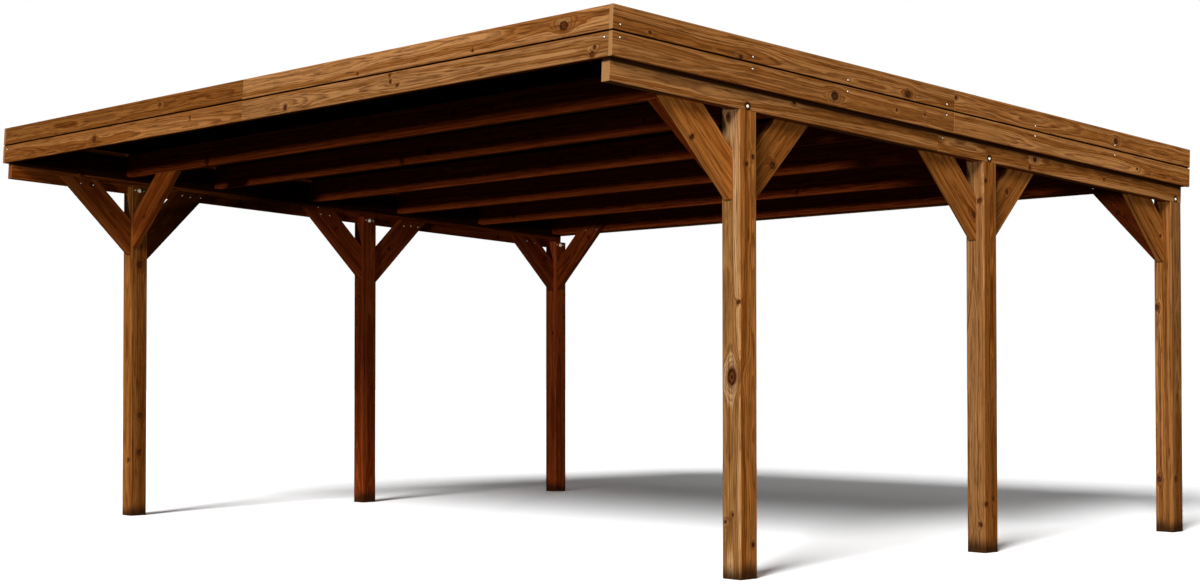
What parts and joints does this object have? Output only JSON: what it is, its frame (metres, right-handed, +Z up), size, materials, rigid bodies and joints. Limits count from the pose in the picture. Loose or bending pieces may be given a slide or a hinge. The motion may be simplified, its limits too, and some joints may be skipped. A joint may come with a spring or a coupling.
{
  "type": "double carport",
  "caption": "Open timber double carport: square posts with knee braces carry side purlins, cross rafters and a ribbed steel roof behind a board fascia, falling to the rear.",
  "frame": {"origin": "on the ground, under the middle of the roof", "axes": "+X across the front towards the right side seen from the front, +Y from the front to the rear, +Z up"},
  "size_m": [6.183, 5.2778, 2.7602],
  "materials": {
    "post_wood": "stained softwood, planed, semi-matt, darkened at the feet",
    "frame_wood": "stained softwood, planed, semi-matt",
    "fascia_wood": "stained softwood boards, planed, semi-matt",
    "sheet_steel": "coil-coated ribbed steel sheet, matt dark grey",
    "fastener_zinc": "zinc-plated screws and bolts, dull bright"
  },
  "bodies": {
    "root": {"post_front_right": "post_wood", "post_middle_right": "post_wood", "post_rear_right": "post_wood", "post_front_left": "post_wood", "post_middle_left": "post_wood", "post_rear_left": "post_wood", "purlin_right_front": "frame_wood", "purlin_right_rear": "frame_wood", "purlin_left_front": "frame_wood", "purlin_left_rear": "frame_wood", "rafter_front_edge": "frame_wood", "rafter_front_posts": "frame_wood", "rafter_third": "frame_wood", "rafter_fourth": "frame_wood", "rafter_fifth": "frame_wood", "rafter_sixth": "frame_wood", "rafter_rear_edge": "frame_wood", "brace_front_right_fore": "frame_wood", "brace_front_right_aft": "frame_wood", "brace_front_right_cross": "frame_wood", "brace_middle_right_fore": "frame_wood", "brace_middle_right_aft": "frame_wood", "brace_rear_right_fore": "frame_wood", "brace_rear_right_cross": "frame_wood", "brace_front_left_fore": "frame_wood", "brace_front_left_aft": "frame_wood", "brace_front_left_cross": "frame_wood", "brace_middle_left_fore": "frame_wood", "brace_middle_left_aft": "frame_wood", "brace_rear_left_fore": "frame_wood", "brace_rear_left_cross": "frame_wood", "front_board_lower_right": "fascia_wood", "front_board_lower_left": "fascia_wood", "front_board_upper_right": "fascia_wood", "front_board_upper_left": "fascia_wood", "side_board_right_lower_front": "fascia_wood", "side_board_right_lower_rear": "fascia_wood", "side_board_right_upper_front": "fascia_wood", "side_board_right_upper_rear": "fascia_wood", "side_board_left_lower_front": "fascia_wood", "side_board_left_lower_rear": "fascia_wood", "side_board_left_upper_front": "fascia_wood", "side_board_left_upper_rear": "fascia_wood", "rear_boards": "fascia_wood", "roof_sheets": "sheet_steel"}
  },
  "joints": []
}
